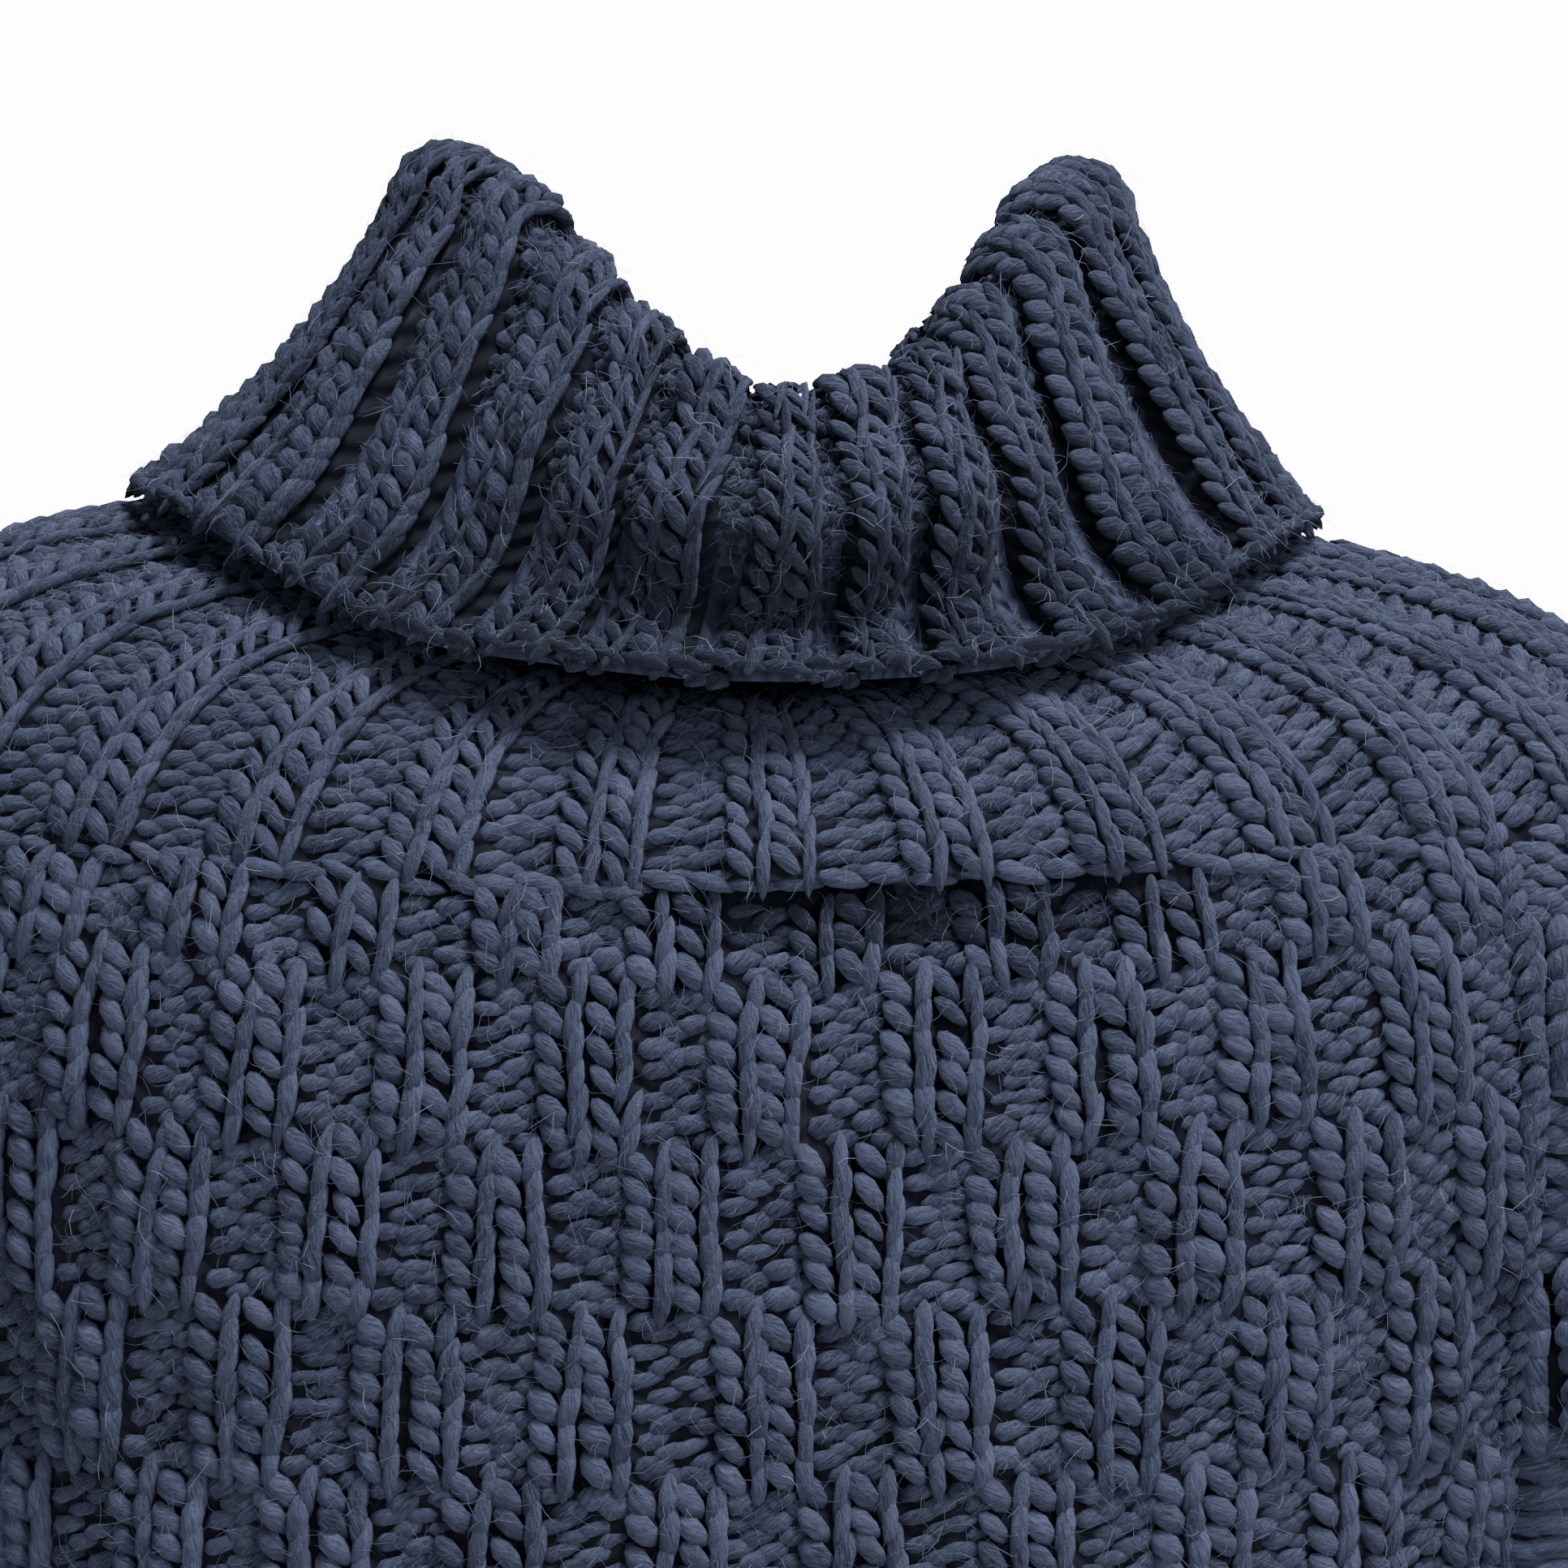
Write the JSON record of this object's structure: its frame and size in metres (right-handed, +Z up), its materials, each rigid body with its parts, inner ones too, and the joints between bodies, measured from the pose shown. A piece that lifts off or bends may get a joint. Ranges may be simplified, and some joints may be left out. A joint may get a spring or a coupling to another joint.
{
  "type": "roll-neck pullover",
  "caption": "Hollow worn pullover in chunky wool: folded ribbed roll neck, round ribbed yoke, basketweave body and long sleeves, ribbed cuffs and hem.",
  "frame": {"origin": "middle of the neck opening at shoulder height", "axes": "+Z up, -Y the front of the garment, +X to the viewer's right from the front (the sleeve and cuff named right)"},
  "size_m": [0.9098, 0.267, 0.7613],
  "materials": {
    "collar": "matte fuzzy navy wool knit",
    "yoke": "matte fuzzy navy wool knit",
    "body_front": "matte fuzzy navy wool knit",
    "body_back": "matte fuzzy navy wool knit",
    "sleeve_right": "matte fuzzy navy wool knit",
    "sleeve_left": "matte fuzzy navy wool knit",
    "cuff_right": "matte fuzzy navy wool knit",
    "cuff_left": "matte fuzzy navy wool knit",
    "hem_band": "matte fuzzy navy wool knit"
  },
  "bodies": {
    "root": {"collar": "collar", "yoke": "yoke", "body_front": "body_front", "body_back": "body_back", "sleeve_right": "sleeve_right", "sleeve_left": "sleeve_left", "cuff_right": "cuff_right", "cuff_left": "cuff_left", "hem_band": "hem_band"}
  },
  "joints": []
}
